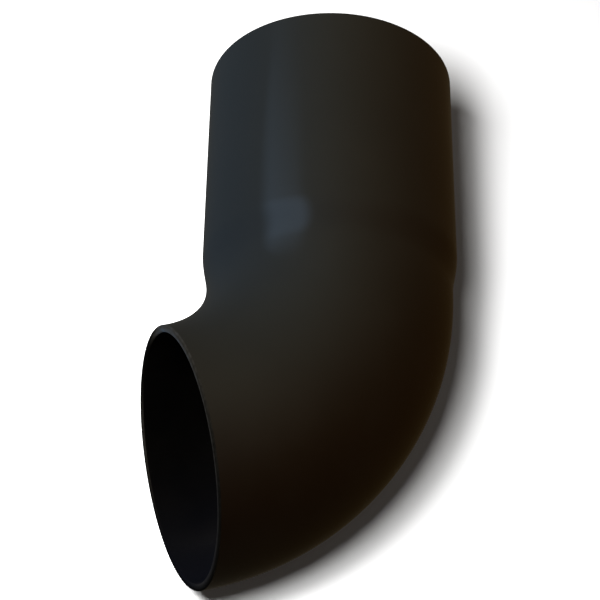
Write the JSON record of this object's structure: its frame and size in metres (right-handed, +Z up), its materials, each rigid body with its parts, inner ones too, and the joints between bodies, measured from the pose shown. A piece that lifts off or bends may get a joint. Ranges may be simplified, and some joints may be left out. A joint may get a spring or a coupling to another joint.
{
  "type": "downpipe shoe",
  "caption": "Moulded downpipe shoe: a round socket that takes the pipe's end, a soft shoulder, and a bend with a square-cut open outlet that throws rainwater clear of the wall.",
  "frame": {"origin": "on the socket's axis, in the plane of the socket's mouth", "axes": "+Z up the socket's axis, towards the pipe; -Y is the side that the outlet faces; the YZ plane is the part's mirror plane"},
  "size_m": [0.073, 0.0873, 0.1613],
  "materials": {
    "black_plastic": "moulded black plastic with a satin sheen"
  },
  "bodies": {
    "root": {"downpipe_shoe": "black_plastic"}
  },
  "joints": []
}
